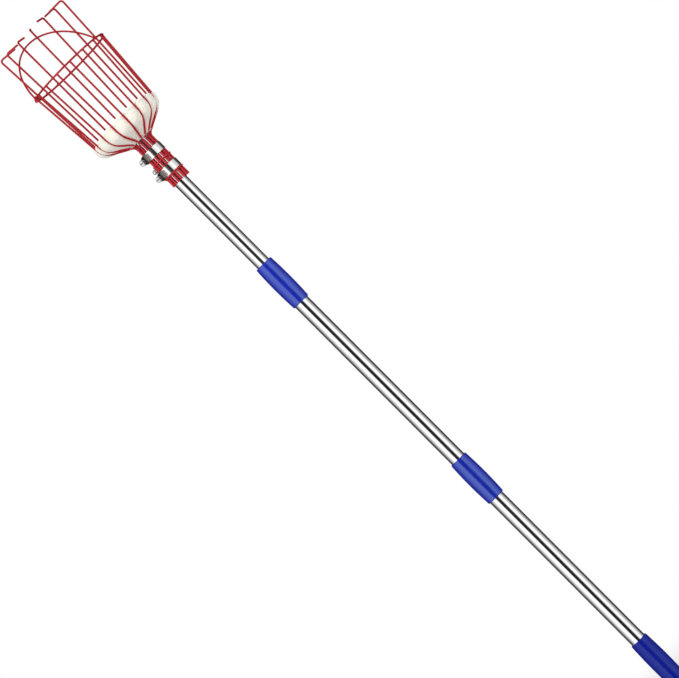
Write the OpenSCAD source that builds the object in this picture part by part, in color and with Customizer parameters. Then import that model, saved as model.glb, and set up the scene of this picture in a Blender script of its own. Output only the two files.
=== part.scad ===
// Fruit picker: a wire basket with a foam cup, clamped on a pole of three screw-together tubes.
// Millimetres, +Z up the pole. The origin is on the pole's axis, inside the hand grip's barrel.
// The basket's open front faces -Y, and its picking fingers stand at the back, +Y.

/* [Pole] */
// Outer diameter of the top tube
top_tube_d = 22; // [21:0.5:23]
// Outer diameter of the middle and bottom tubes
main_tube_d = 24; // [23:0.5:25]
// Wall thickness of every tube
tube_wall = 1; // [0.8:0.1:1.2]
// Length of the top tube that shows below the basket
top_tube_l = 165; // [120:1:400]
// Length of the middle tube that shows between the collars
middle_tube_l = 313; // [200:1:500]
// Length of the bottom tube that shows above the hand grip
bottom_tube_l = 284; // [200:1:500]

/* [Screw joints] */
// Length of a collar
collar_l = 76; // [70:1:90]
// Outer diameter of a collar at its ends
collar_end_d = 28; // [27:0.5:30]
// Outer diameter of a collar at its middle
collar_mid_d = 30.2; // [29:0.1:32]
// Outer diameter of the joint's thread
thread_d = 16; // [14:0.5:17]
// Running clearance between parts that turn in each other
running_gap = 0.06; // [0.02:0.01:0.1]

/* [Hand grip] */
// Length of the grip's thick barrel
barrel_l = 59; // [50:1:90]
// Outer diameter of the barrel
barrel_d = 32; // [30:0.5:34]
// Length of the neck above the barrel
neck_l = 66; // [50:1:80]

/* [Basket wires] */
// Diameter of a basket wire with its coating
wire_d = 2.95; // [2.8:0.05:3.0]
// Radius of the circle of wires in the grip
grip_wire_r = 14.3; // [14.2:0.05:14.4]
// Length of the grip, from the wires' lower ends to the bowl
grip_l = 76; // [74:1:80]
// Sideways offset of the basket, which rests against one side of the tube
basket_offset = 1.8; // [1.7:0.05:1.8]
// Rise of the bowl's sloping wires above level
bowl_slope = 28; // [26:1:30]
// Length of the bowl's straight slope
slope_l = 27.4; // [27:0.1:29]
// Radius of the bend from the slope to the side
side_bend_r = 26; // [24:1:27]
// Outward lean of the front wires
front_lean = 4.4; // [4.2:0.1:4.6]
// Outward lean of the back fingers
finger_lean = 2.9; // [2.8:0.1:3.0]
// Height of the mouth ring above the start of the bowl
ring_z = 148; // [145:1:160]
// Height of the fingers' tops above the start of the bowl
finger_top_z = 230; // [225:1:240]
// Length of a finger's hooked end
hook_l = 24; // [20:1:26]
// Slope of a finger's hooked end below level
hook_droop = 5; // [3:0.5:10]
// Rise of the arch hoop above the mouth ring
arch_rise = 70; // [60:1:72]
// Direction of the arch hoop's middle, from the back towards -X
arch_turn = 8.5; // [0:0.5:10]
// Half of the angle that the arch hoop spans
arch_reach = 75; // [70:1:80]

/* [Foam cup] */
// Thickness of the foam
foam_t = 8; // [6:0.5:9]
// Height of the foam's rim above the start of the bowl
foam_rim_z = 49; // [46:1:58]

/* [Clamps and bolt] */
// Height of the upper clamp's middle, from the start of the bowl
upper_clamp_z = -20.5; // [-21:0.5:-20]
// Height of the lower clamp's middle, from the start of the bowl
lower_clamp_z = -53; // [-53.5:0.5:-53]
// Width of a clamp's band
band_w = 12.7; // [12.7:0.1:12.8]
// Direction of the clamp's screw housing, round the basket's axis
clamp_az = 158; // [156:1:162]
// Height of the cross bolt, from the start of the bowl
bolt_z = -41.9; // [-42:0.1:-41.8]
// Direction of the cross bolt, from its head to its nut
bolt_az = 169; // [168:0.5:170]
// Diameter of the cross bolt
bolt_d = 4; // [3:0.5:4]

/* [Hidden] */
$fn = 96;
cut = 1; // how far a cutting solid runs past a face

// Heights along the pole
barrel_foot_z = -35;
barrel_top_z = barrel_foot_z + barrel_l;
grip_top = barrel_top_z + neck_l;
lower_joint_z = grip_top + bottom_tube_l + collar_l / 2;
upper_joint_z = lower_joint_z + collar_l + middle_tube_l;
bowl_z = upper_joint_z + collar_l / 2 + top_tube_l + grip_l;

// Pole and screw joints
main_r = main_tube_d / 2;
top_r = top_tube_d / 2;
thread_r = thread_d / 2;
seal_t = 2;
shoulder_t = 3;
insert_l = 28;
stub_l = 24;
tube_foot_z = barrel_foot_z + 7;
tube_head_z = bowl_z + 6;
cap_l = 10;
butt_t = 3;

// Basket wires
wire_r = wire_d / 2;
wire_step = 360 / 16;
weld = 0.2; // depth to which welded wires sink into each other
grip_bend_r = 9;
grip_straight_l = grip_l - 3.5;
slope_turn = 90 - bowl_slope;
slope_r = grip_wire_r + grip_bend_r * (1 - cos(slope_turn));
slope_z = grip_straight_l - grip_l + grip_bend_r * sin(slope_turn);
side_r = slope_r + slope_l * sin(slope_turn);
side_z = slope_z + slope_l * cos(slope_turn);
bend_c = [side_r - side_bend_r * cos(slope_turn), side_z + side_bend_r * sin(slope_turn)];
finger_bend_r = 4;
ring_r = side_r_at(front_lean, ring_z);
arch_d = 2.8;
tie_d = 2;
tie_r = grip_wire_r + wire_r + tie_d / 2 + 0.03;
tie_zs = [-61, -36.5];

// Clamps
band_t = 0.7;
band_r = grip_wire_r + wire_r + 0.05;
tail_r = band_r + 2 * band_t;
tail_angle = 77;
slot_step = 7;
slot_w = 1.2;
slot_h = 6.8;
worm_r = 3.97;
screw_r = tail_r + worm_r + 0.15;
worm_front = 5.9;
worm_back = -4.6;
worm_pitch = 2.1;
pivot_r = 1.6;
flange_r = 4.65;
flange_t = 0.9;
hex_d = 8.1;
hex_h = 3.4;
driver_slot_w = 1.2;
driver_slot_depth = 1.5;
housing_wall = 1.05;
bore_gap = 0.08;

// Cross bolt, measured along its own axis from the pole's axis
bolt_r = bolt_d / 2;
bolt_head_x = -top_r - 0.1;
bolt_head_d = 7.6;
bolt_head_h = 2.3;
washer_x = 13.95;
washer_r = 3.9;
washer_t = 0.8;
nut_x = washer_x + washer_t;
nut_h = 6.2;
nut_d = 8.08;
nut_dome_r = 3.2;
nut_bore_l = 4.2;

// Direction of the bolt's gap between two wires, seen from the basket's axis, and half its width
bolt_reach = top_r + wire_r; // distance from the pole's axis at which the bolt passes between the wires
gap_az = atan2(bolt_reach * sin(bolt_az), bolt_reach * cos(bolt_az) - basket_offset);
gap_half = asin((wire_r + bolt_r + 0.1) / grip_wire_r);

// Height at which a wire's straight side starts, and the side's radius at a height
function side_start_z(lean) = bend_c[1] - side_bend_r * sin(lean);
function side_r_at(lean, z) = bend_c[0] + side_bend_r * cos(lean) + (z - side_start_z(lean)) * tan(lean);

// Points of an arc round c in the plane, from angle a to angle b
function arc(c, r, a, b, n = 12) =
    [for (i = [0:n]) let (turn = a + (b - a) * i / n) c + r * [cos(turn), sin(turn)]];

module ring_of(r_in, r_out, h) {
    difference() {
        cylinder(r = r_out, h = h);
        translate([0, 0, -cut]) cylinder(r = r_in, h = h + 2 * cut);
    }
}

// ---------- Pole ----------

module hand_grip() {
    mouth_r = collar_end_d / 2;
    swell = collar_mid_d / 2 - mouth_r;
    barrel_r = barrel_d / 2;
    // The neck swells below its mouth and draws in a little towards the barrel
    neck = [for (i = [0:12]) [mouth_r + swell * sin(140 * i / 12), grip_top - 1 - i * (neck_l - 1) / 12]];
    color([0.13, 0.2, 0.68])
        rotate_extrude() polygon(concat([[main_r, grip_top], [mouth_r - 0.8, grip_top]], neck, [
            [barrel_r - 0.4, barrel_top_z - 4], [barrel_r, barrel_top_z - 6], [barrel_r, barrel_foot_z + 1],
            [barrel_r - 1, barrel_foot_z], [main_r, barrel_foot_z]
        ]));
}

module butt_plug() {
    foot_z = barrel_foot_z;
    edge_r = barrel_d / 2 - 1;
    color([0.1, 0.15, 0.55])
        rotate_extrude() polygon([
            [0, foot_z - butt_t], [edge_r - 2, foot_z - butt_t], [edge_r, foot_z - 1], [edge_r, foot_z],
            [main_r, foot_z], [main_r, tube_foot_z], [main_r - 2, tube_foot_z], [main_r - 2, foot_z + 1],
            [0, foot_z + 1]
        ]);
}

module tube(r, z0, z1) {
    color([0.85, 0.86, 0.88]) translate([0, 0, z0]) ring_of(r - tube_wall, r, z1 - z0);
}

module bottom_tube() { tube(main_r, tube_foot_z, lower_joint_z - seal_t - shoulder_t); }

module middle_tube() { tube(main_r, lower_joint_z + shoulder_t, upper_joint_z - seal_t - shoulder_t); }

module top_tube() {
    difference() {
        tube(top_r, upper_joint_z + shoulder_t, tube_head_z);
        along_bolt() translate([0, 0, -top_r - cut]) cylinder(d = bolt_d + 0.3, h = 2 * (top_r + cut));
    }
}

module tube_cap() {
    color([0.1, 0.1, 0.1]) translate([0, 0, tube_head_z - cap_l]) difference() {
        cylinder(r = top_r - tube_wall, h = cap_l);
        translate([0, 0, -cut]) cylinder(r = top_r - tube_wall - 1.5, h = cap_l - 2 + cut);
    }
}

// Barrel-shaped sleeve, bonded on the tube below the joint; the tube above turns in it
module collar(z, upper_r) {
    half = collar_l / 2;
    end_r = collar_end_d / 2;
    swell = collar_mid_d / 2 - end_r;
    side = [for (i = [-8:8]) let (u = i / 8) [end_r + swell * (1 - u * u), u * (half - 1)]];
    color([0.13, 0.2, 0.68]) translate([0, 0, z]) difference() {
        rotate_extrude()
            polygon(concat([[0, -half], [end_r - 0.8, -half]], side, [[end_r - 0.8, half], [0, half]]));
        translate([0, 0, -half - cut]) cylinder(r = main_r, h = half + cut);
        translate([0, 0, -cut]) cylinder(r = upper_r + running_gap, h = half + 2 * cut);
    }
}

// Threaded socket in the top of the lower tube; the thread is a smooth bore
module socket(z) {
    color([0.7, 0.7, 0.72]) translate([0, 0, z - seal_t - shoulder_t]) difference() {
        union() {
            translate([0, 0, -insert_l]) cylinder(r = main_r - tube_wall, h = insert_l);
            cylinder(r = main_r, h = shoulder_t);
        }
        translate([0, 0, -insert_l - cut]) cylinder(r = thread_r, h = insert_l + shoulder_t + 2 * cut);
    }
}

module seal(z, upper_r) {
    color([0.15, 0.15, 0.15]) translate([0, 0, z - seal_t]) ring_of(thread_r + 0.2, upper_r - 0.3, seal_t);
}

// Threaded plug in the foot of the upper tube; the thread is a smooth stub
module plug(z, upper_r) {
    color([0.7, 0.7, 0.72]) translate([0, 0, z]) difference() {
        union() {
            translate([0, 0, -stub_l]) cylinder(r = thread_r - running_gap, h = stub_l + shoulder_t);
            cylinder(r = upper_r, h = shoulder_t);
            translate([0, 0, shoulder_t]) cylinder(r = upper_r - tube_wall, h = insert_l);
        }
        translate([0, 0, -stub_l - cut]) cylinder(r = thread_r - 3, h = stub_l + insert_l);
    }
}

// ---------- Basket ----------

module in_basket(z = 0) { translate([basket_offset, 0, bowl_z + z]) children(); }

// Round rod from the origin along +Z, then through each leg: [straight length, turn towards +X, bend radius].
// A bend is a hair thicker than the rod and laps its straights a little, which joins them as one solid.
module bent_rod(d, legs, i = 0) {
    length = legs[i][0];
    turn = legs[i][1];
    bend_r = legs[i][2];
    swing = abs(turn);
    cylinder(d = d, h = length);
    if (turn != 0) translate([0, 0, length]) {
        lap = 0.1 / bend_r * 180 / PI;
        mirror([turn < 0 ? 1 : 0, 0, 0]) translate([bend_r, 0, 0]) rotate([90, 0, 0])
            rotate([0, 0, 180 - swing - lap]) rotate_extrude(angle = swing + 2 * lap)
                translate([bend_r, 0]) circle(d = d + 0.02);
        translate([sign(turn) * bend_r * (1 - cos(swing)), 0, bend_r * sin(swing)])
            rotate([0, turn, 0]) bent_rod(d, legs, i + 1);
    }
}

// A wire from the foot of the grip up to the side of the basket, leaning out by lean
module basket_wire(az, lean, end_legs) {
    legs = concat([
        [grip_straight_l, slope_turn, grip_bend_r],
        [slope_l, lean - slope_turn, side_bend_r]
    ], end_legs);
    color([0.72, 0.1, 0.14]) in_basket(-grip_l) rotate([0, 0, az]) translate([grip_wire_r, 0, 0])
        bent_rod(wire_d, legs);
}

module back_finger(k) {
    az = k == 1 ? gap_az - gap_half : 180 - k * wire_step;
    rise = (finger_top_z - finger_bend_r - side_start_z(finger_lean)) / cos(finger_lean);
    basket_wire(az, finger_lean, [[rise, -90 - hook_droop - finger_lean, finger_bend_r], [hook_l, 0, 0]]);
}

module front_wire(k) {
    az = k == 1 ? gap_az + gap_half : 180 + (k - 1) * wire_step;
    basket_wire(az, front_lean, [[(ring_z - side_start_z(front_lean)) / cos(front_lean), 0, 0]]);
}

module wire_ring(r, d, z) {
    in_basket(z) rotate_extrude() translate([r, 0]) circle(d = d, $fn = 48);
}

module mouth_ring() { color([0.72, 0.1, 0.14]) wire_ring(ring_r, wire_d, ring_z); }

module tie_ring(z) { color([0.72, 0.1, 0.14]) wire_ring(tie_r, tie_d, z); }

// Half hoop that leans back on the outside of the fingers, swept as a ring of sides at each step
module arch_hoop() {
    steps = 40;
    sides = 10;
    offset_r = wire_r + arch_d / 2 - weld;
    function height(t) = ring_z + arch_rise * (cos(t) - cos(arch_reach)) / (1 - cos(arch_reach));
    function out(t) = [sin(t - arch_turn), cos(t - arch_turn), 0];
    function centre(t) = (side_r_at(finger_lean, height(t)) + offset_r) * out(t) + [0, 0, height(t)];
    points = [for (i = [0:steps]) let (
        t = arch_reach * (2 * i / steps - 1),
        across = cross(out(t), centre(t + 0.5) - centre(t - 0.5)),
        up = across / norm(across)
    ) for (j = [0:sides - 1], a = 360 * j / sides)
        centre(t) + arch_d / 2 * (cos(a) * out(t) + sin(a) * up)];
    walls = [for (i = [0:steps - 1], j = [0:sides - 1]) let (k = (j + 1) % sides)
        [i * sides + j, i * sides + k, (i + 1) * sides + k, (i + 1) * sides + j]];
    foot = [[for (j = [0:sides - 1]) sides - 1 - j]];
    tip = [[for (j = [0:sides - 1]) steps * sides + j]];
    color([0.72, 0.1, 0.14]) in_basket() polyhedron(points, concat(foot, walls, tip));
}

// Cup that lines the bowl inside the wires
module foam_pad() {
    skin = wire_r + 0.3;
    out_r = side_bend_r - skin;
    in_r = out_r - foam_t;
    rim_c = bend_c + [(out_r + in_r) / 2, foam_rim_z - foam_t / 2 - bend_c[1]];
    base_z = tube_head_z - bowl_z + 0.3;
    slope_dir = [sin(slope_turn), cos(slope_turn)];
    outer_foot = bend_c + out_r * [cos(slope_turn), -sin(slope_turn)];
    inner_foot = bend_c + in_r * [cos(slope_turn), -sin(slope_turn)];
    outer_low = outer_foot - slope_dir * (outer_foot[1] - base_z) / slope_dir[1];
    inner_low = inner_foot - slope_dir * (inner_foot[1] - base_z - foam_t) / slope_dir[1];
    color([0.96, 0.94, 0.88]) in_basket() rotate_extrude() polygon(concat(
        [[0, base_z], outer_low],
        arc(bend_c, out_r, -slope_turn, 0),
        arc(rim_c, foam_t / 2, 0, 180),
        arc(bend_c, in_r, 0, -slope_turn),
        [inner_low, [0, base_z + foam_t]]
    ));
}

// ---------- Clamps and bolt ----------

// Band with its slotted tail lying outside it
module clamp_band(z) {
    color([0.8, 0.8, 0.8]) in_basket(z - band_w / 2) difference() {
        union() {
            ring_of(band_r, band_r + band_t, band_w);
            rotate([0, 0, clamp_az]) rotate_extrude(angle = tail_angle)
                translate([band_r + band_t / 2, 0]) square([1.5 * band_t, band_w]);
        }
        for (a = [slot_step / 2:slot_step:tail_angle - slot_step / 2])
            rotate([0, 0, clamp_az + a]) translate([tail_r - band_t, -slot_w / 2, (band_w - slot_h) / 2])
                cube([2 * band_t, slot_w, slot_h]);
    }
}

// Places its children with +X outwards, +Y along the screw towards its head
module at_clamp(z) { in_basket(z) rotate([0, 0, clamp_az]) children(); }

module along_screw(y) { translate([screw_r, y, 0]) rotate([-90, 0, 0]) children(); }

module clamp_housing(z) {
    bore_r = worm_r + bore_gap;
    shell_r = bore_r + housing_wall;
    saddle_w = band_w + 1.2;
    saddle_t = 3;
    length = worm_front - worm_back + housing_wall;
    back = worm_back - housing_wall;
    color([0.75, 0.75, 0.76]) at_clamp(z) difference() {
        union() {
            along_screw(back) cylinder(r = shell_r, h = length);
            translate([band_r + 0.1, back, -shell_r]) cube([screw_r - band_r - 0.1, length, 2 * shell_r]);
            translate([band_r + 0.1, back - 0.8, -saddle_w / 2]) cube([saddle_t, length + 0.8, saddle_w]);
        }
        along_screw(worm_back - 0.1) cylinder(r = bore_r, h = length + cut);
        along_screw(back - cut) cylinder(r = pivot_r + bore_gap, h = 3 * cut);
        translate([0, 0, -band_w / 2 - 0.05]) cylinder(r = tail_r + 0.1, h = band_w + 0.1);
    }
}

// Worm screw with a washer-faced hexagon head and a driver slot; the thread is a row of grooves
module clamp_screw(z) {
    root_r = worm_r - 0.7;
    turns = floor((worm_front - worm_back) / worm_pitch);
    grooves = [for (i = [0:turns - 1]) let (y = worm_back + 0.3 + i * worm_pitch)
        each [[worm_r, y], [root_r, y + 0.6], [root_r, y + 0.9], [worm_r, y + 1.5]]];
    pivot_end = worm_back - 1.6;
    flange_y = worm_front + 0.1;
    hex_y = flange_y + flange_t;
    color([0.72, 0.72, 0.73]) at_clamp(z) along_screw(0) difference() {
        union() {
            rotate_extrude() polygon(concat(
                [[0, pivot_end], [pivot_r, pivot_end], [pivot_r, worm_back], [worm_r, worm_back]], grooves,
                [[worm_r, flange_y], [flange_r, flange_y], [flange_r, hex_y], [0, hex_y]]
            ));
            translate([0, 0, hex_y]) cylinder(d = hex_d, h = hex_h, $fn = 6);
        }
        translate([-hex_d, -driver_slot_w / 2, hex_y + hex_h - driver_slot_depth])
            cube([2 * hex_d, driver_slot_w, driver_slot_depth + cut]);
    }
}

// Places its children on the pole's axis with +Z along the bolt, towards its nut
module along_bolt() {
    translate([0, 0, bowl_z + bolt_z]) rotate([0, 0, bolt_az]) rotate([0, 90, 0]) children();
}

module cross_bolt() {
    color([0.8, 0.8, 0.82]) along_bolt() {
        translate([0, 0, bolt_head_x]) cylinder(r = bolt_r, h = nut_x + 4 - bolt_head_x);
        translate([0, 0, bolt_head_x - bolt_head_h]) cylinder(d = bolt_head_d, h = bolt_head_h);
    }
}

module bolt_washer() {
    color([0.8, 0.8, 0.82])
        along_bolt() translate([0, 0, washer_x]) ring_of(bolt_r + 0.1, washer_r, washer_t);
}

module cap_nut() {
    dome_z = nut_h - nut_dome_r;
    color([0.9, 0.9, 0.92]) along_bolt() translate([0, 0, nut_x]) difference() {
        union() {
            rotate([0, 0, 30]) cylinder(d = nut_d, h = dome_z, $fn = 6);
            intersection() {
                translate([0, 0, dome_z]) sphere(r = nut_dome_r);
                cylinder(r = nut_dome_r, h = nut_h);
            }
        }
        translate([0, 0, -cut]) cylinder(r = bolt_r + 0.05, h = nut_bore_l + cut);
    }
}

hand_grip();
butt_plug();
bottom_tube();
collar(lower_joint_z, main_r);  // lower_collar
socket(lower_joint_z);  // lower_socket
seal(lower_joint_z, main_r);  // lower_seal
plug(lower_joint_z, main_r);  // lower_plug
middle_tube();
collar(upper_joint_z, top_r);  // upper_collar
socket(upper_joint_z);  // upper_socket
seal(upper_joint_z, top_r);  // upper_seal
plug(upper_joint_z, top_r);  // upper_plug
top_tube();
tube_cap();
for (k = [1:7]) back_finger(k);
for (k = [1:9]) front_wire(k);
mouth_ring();
arch_hoop();
tie_ring(tie_zs[1]);  // upper_tie_ring
tie_ring(tie_zs[0]);  // lower_tie_ring
foam_pad();
clamp_band(upper_clamp_z);  // upper_clamp_band
clamp_housing(upper_clamp_z);  // upper_clamp_housing
clamp_screw(upper_clamp_z);  // upper_clamp_screw
clamp_band(lower_clamp_z);  // lower_clamp_band
clamp_housing(lower_clamp_z);  // lower_clamp_housing
clamp_screw(lower_clamp_z);  // lower_clamp_screw
cross_bolt();
bolt_washer();
cap_nut();
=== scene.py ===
from math import asin, atan2, ceil, cos, exp, hypot, inf, pi, radians, sin, sqrt, tan, tau

import bmesh
import bpy
from mathutils import Matrix, Vector, noise


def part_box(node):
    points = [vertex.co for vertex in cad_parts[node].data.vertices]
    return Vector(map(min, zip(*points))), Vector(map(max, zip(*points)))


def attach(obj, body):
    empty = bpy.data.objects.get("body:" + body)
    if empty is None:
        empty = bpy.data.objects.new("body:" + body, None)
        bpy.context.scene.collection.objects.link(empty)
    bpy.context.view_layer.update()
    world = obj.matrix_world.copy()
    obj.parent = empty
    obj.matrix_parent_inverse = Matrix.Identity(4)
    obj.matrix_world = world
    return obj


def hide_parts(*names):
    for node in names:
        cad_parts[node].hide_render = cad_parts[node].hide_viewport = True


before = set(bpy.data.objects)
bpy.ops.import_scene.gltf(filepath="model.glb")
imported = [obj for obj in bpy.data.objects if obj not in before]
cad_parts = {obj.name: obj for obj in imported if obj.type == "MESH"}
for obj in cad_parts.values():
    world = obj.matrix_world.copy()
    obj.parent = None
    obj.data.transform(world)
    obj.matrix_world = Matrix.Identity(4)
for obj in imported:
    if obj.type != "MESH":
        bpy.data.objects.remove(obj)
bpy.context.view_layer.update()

# ---- sizes, in metres, the frame's own
MM = 0.001
AXIS_X = 1.8 * MM  # the basket's axis beside the pole's
BOWL_Z = 1080 * MM  # where the bowl starts
MAIN_R = 12 * MM
TOP_R = 11 * MM
LOWER_JOINT_Z = 412 * MM
UPPER_JOINT_Z = 801 * MM
GRIP_TOP_Z = 90 * MM
GRIP_FOOT_Z = -35 * MM

# The basket and its fastening: heights count from BOWL_Z, azimuths and radii from the basket's axis
WIRE_R = 1.475 * MM
GRIP_WIRE_R = 14.3 * MM
GRIP_L = 76 * MM
GRIP_BEND_R = 9 * MM
SLOPE = radians(28)
SLOPE_L = 27.4 * MM
SIDE_BEND_R = 26 * MM
FRONT_LEAN = radians(4.4)
FINGER_LEAN = radians(2.9)
RING_Z = 148 * MM
FINGER_TOP_Z = 230 * MM
DRIFT_FOOT_Z = 40 * MM  # the fingers drift sideways from here up
WIRE_STEP = 2.5 * MM  # longest stretch between two points of a wire
WIRE_SIDES = 20
HOOK_R = 4 * MM
HOOK_L = 24 * MM
ARCH_R = 1.35 * MM
ARCH_RISE = 70 * MM
ARCH_TURN = radians(8.5)
ARCH_REACH = radians(75)
CURL_DRIFT = 3.84 * MM  # how far the arch's curl runs along the mouth ring in one radian of it
TIE_R = 1 * MM
TIE_RING_R = GRIP_WIRE_R + WIRE_R + TIE_R
TIE_ZS = {"lower_tie_ring": -61 * MM, "upper_tie_ring": -36.5 * MM}

FOAM_T = 8 * MM
FOAM_BASE_Z = 6.3 * MM
FOAM_RIM_Z = 47 * MM
FOAM_SIDES = 384
FOAM_STEP = 1.1 * MM
RIM_STEPS = 12

CLAMP_ZS = {"upper": -20.5 * MM, "lower": -53 * MM}
CLAMP_AZ = radians(158)
BAND_R = GRIP_WIRE_R + WIRE_R + 0.05 * MM
BAND_T = 0.7 * MM
BAND_W = 12.7 * MM
TAIL_R = BAND_R + 2 * BAND_T
TAIL_ANGLE = radians(77)
WORM_R = 3.97 * MM
SCREW_R = TAIL_R + WORM_R + 0.15 * MM
WORM_FRONT = 5.9 * MM
WORM_BACK = -4.6 * MM
WORM_PITCH = 2.1 * MM
FLANGE_R = 4.65 * MM
BOLT_Z = -41.9 * MM
BOLT_AZ = radians(169)
BOLT_R = 2 * MM
NUT_X = 14.75 * MM  # where the nut meets its washer, along the bolt from the pole's axis

BASKET = "basket_section"
POINT_R = 1e-4 * MM  # radius of a turned part where it meets its own axis
NOISE_SPAN = (0.3, 0.7)  # what nearly all of a noise texture lies in
WHITE = (1, 1, 1, 1)


# ---- shader helpers
def set_sockets(tree, node, sockets):
    """Sets a node's sockets to values, or links them to a socket or to the first output of a node."""
    for name, value in sockets.items():
        if isinstance(value, bpy.types.Node):
            value = value.outputs[0]
        if isinstance(value, bpy.types.NodeSocket):
            tree.links.new(value, node.inputs[name])
        else:
            node.inputs[name].default_value = value


def add_node(tree, kind, sockets, **settings):
    """New shader node, with its own settings set and its sockets filled."""
    node = tree.nodes.new("ShaderNode" + kind)
    for name, value in settings.items():
        setattr(node, name, value)
    set_sockets(tree, node, sockets)
    return node


def new_material(name, colour, roughness, metallic=0.0):
    mat = bpy.data.materials.new(name)
    mat.use_nodes = True
    tree = mat.node_tree
    shader = tree.nodes["Principled BSDF"]
    set_sockets(tree, shader, {"Base Color": (*colour, 1), "Roughness": roughness, "Metallic": metallic})
    return mat, tree, shader


def object_coords(tree, scale=(1, 1, 1)):
    """Object coordinates, stretched by scale."""
    coord = add_node(tree, "TexCoord", {})
    return add_node(tree, "Mapping", {"Vector": coord.outputs["Object"], "Scale": scale})


def noise_node(tree, vector, scale, detail=4.0):
    return add_node(tree, "TexNoise", {"Vector": vector, "Scale": scale, "Detail": detail, "Roughness": 0.55})


def spread(tree, value, low, high):
    """Maps a noise's usual span onto low to high."""
    start, end = NOISE_SPAN
    return add_node(tree, "MapRange", {"Value": value, "From Min": start, "From Max": end,
                                       "To Min": low, "To Max": high})


def bump(tree, height, distance, strength):
    return add_node(tree, "Bump", {"Height": height, "Distance": distance, "Strength": strength})


def tint(tree, value, dark, light):
    """Colour that wanders between two close colours."""
    ramp = add_node(tree, "ValToRGB", {"Fac": value})
    for i, colour in enumerate((dark, light)):
        ramp.color_ramp.elements[i].position = NOISE_SPAN[i]
        ramp.color_ramp.elements[i].color = (*colour, 1)
    return ramp


def blue_plastic(name, colour, gloss):
    """Moulded plastic with a fine satin grain and a bluish sheen."""
    mat, tree, shader = new_material(name, colour, 0.2)
    vector = object_coords(tree)
    broad = noise_node(tree, vector, 60)
    set_sockets(tree, shader, {
        "Base Color": tint(tree, broad, [0.92 * c for c in colour], [1.08 * c for c in colour]),
        "Roughness": spread(tree, broad, 0.16, 0.24),
        "IOR": 1.6,
        "Specular IOR Level": gloss,
        "Specular Tint": (0.6, 0.82, 1, 1),
        "Normal": bump(tree, noise_node(tree, vector, 1800, 2), 0.00003, 0.35),
    })
    return mat


def polished_steel():
    """Bright tube with faint lines along its length from drawing and polishing."""
    mat, tree, shader = new_material("polished_steel", (0.8, 0.8, 0.81), 0.12, 1.0)
    lines = noise_node(tree, object_coords(tree, (1, 1, 0.02)), 1400, 3)
    patches = noise_node(tree, object_coords(tree, (1, 1, 0.25)), 90)
    set_sockets(tree, shader, {
        "Roughness": spread(tree, patches, 0.09, 0.16),
        "Normal": bump(tree, lines, 0.000006, 0.4),
    })
    return mat


def red_coating():
    """Dipped vinyl coating on steel wire: glossy and uneven, with painted light on the grip and painted shade
    up the basket's thin wires, whose base colour is a darker red.
    """
    mat, tree, shader = new_material("red_coating", (0.5, 0.012, 0.022), 0.24)
    vector = object_coords(tree)
    broad = noise_node(tree, vector, 140)
    height = add_node(tree, "SeparateXYZ", {"Vector": vector}).outputs["Z"]
    # Painted light and shade by height: the base colour is a lighter red on the grip below the bowl and a
    # darker red up the basket.
    depth = add_node(tree, "MapRange", {"Value": height, "From Min": BOWL_Z, "From Max": BOWL_Z + 30 * MM,
                                        "To Min": 0.9, "To Max": 0.2})
    wander = add_node(tree, "Math", {0: broad, 1: 0.3, 2: depth}, operation="MULTIPLY_ADD")
    set_sockets(tree, shader, {
        "Base Color": tint(tree, wander, (0.36, 0.003, 0.008), (0.56, 0.012, 0.024)),
        "Roughness": spread(tree, broad, 0.2, 0.3),
        "Specular IOR Level": 0.4,
        "Coat Weight": 0.2,
        "Coat Roughness": 0.12,
        "Normal": bump(tree, noise_node(tree, vector, 700, 2), 0.00005, 0.35),
    })
    return mat


def foam():
    """Soft cream foam with fine open cells."""
    mat, tree, shader = new_material("foam", (0.9, 0.85, 0.76), 0.9)
    vector = object_coords(tree)
    cells = add_node(tree, "TexVoronoi", {"Vector": vector, "Scale": 900})
    set_sockets(tree, shader, {
        "Base Color": tint(tree, noise_node(tree, vector, 35), (0.87, 0.82, 0.725), (0.93, 0.89, 0.81)),
        "Subsurface Weight": 0.35,
        "Subsurface Radius": (0.006, 0.005, 0.004),
        "Subsurface Scale": 0.5,
        "Sheen Weight": 0.15,
        "Normal": bump(tree, cells, 0.0002, 0.35),
    })
    return mat


def clamp_steel(name, colour):
    """Rolled stainless strip, brushed round the band."""
    mat, tree, shader = new_material(name, colour, 0.14, 1.0)
    lines = noise_node(tree, object_coords(tree, (0.01, 0.01, 1)), 3000, 2)
    set_sockets(tree, shader, {
        "Roughness": spread(tree, lines, 0.1, 0.18),
        "Normal": bump(tree, lines, 0.000008, 0.4),
    })
    return mat


def bright_fastener():
    """Bright plated screw stock."""
    mat, tree, shader = new_material("bright_fastener", (0.84, 0.84, 0.85), 0.14, 1.0)
    broad = noise_node(tree, object_coords(tree), 400)
    set_sockets(tree, shader, {
        "Roughness": spread(tree, broad, 0.1, 0.2),
        "Normal": bump(tree, broad, 0.00001, 0.3),
    })
    return mat


def insert_metal():
    """Turned light metal with rings round its axis."""
    mat, tree, shader = new_material("insert_metal", (0.7, 0.71, 0.73), 0.3, 1.0)
    rings = noise_node(tree, object_coords(tree, (0.02, 0.02, 1)), 2500, 2)
    set_sockets(tree, shader, {
        "Roughness": spread(tree, rings, 0.24, 0.38),
        "Normal": bump(tree, rings, 0.00002, 0.5),
    })
    return mat


def dull(name, colour, roughness, scale, depth):
    """Matte rubber or plastic with a fine grain."""
    mat, tree, shader = new_material(name, colour, roughness)
    grain = noise_node(tree, object_coords(tree), scale)
    set_sockets(tree, shader, {
        "Roughness": spread(tree, grain, roughness - 0.06, roughness + 0.06),
        "Normal": bump(tree, grain, depth, 0.5),
    })
    return mat


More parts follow.
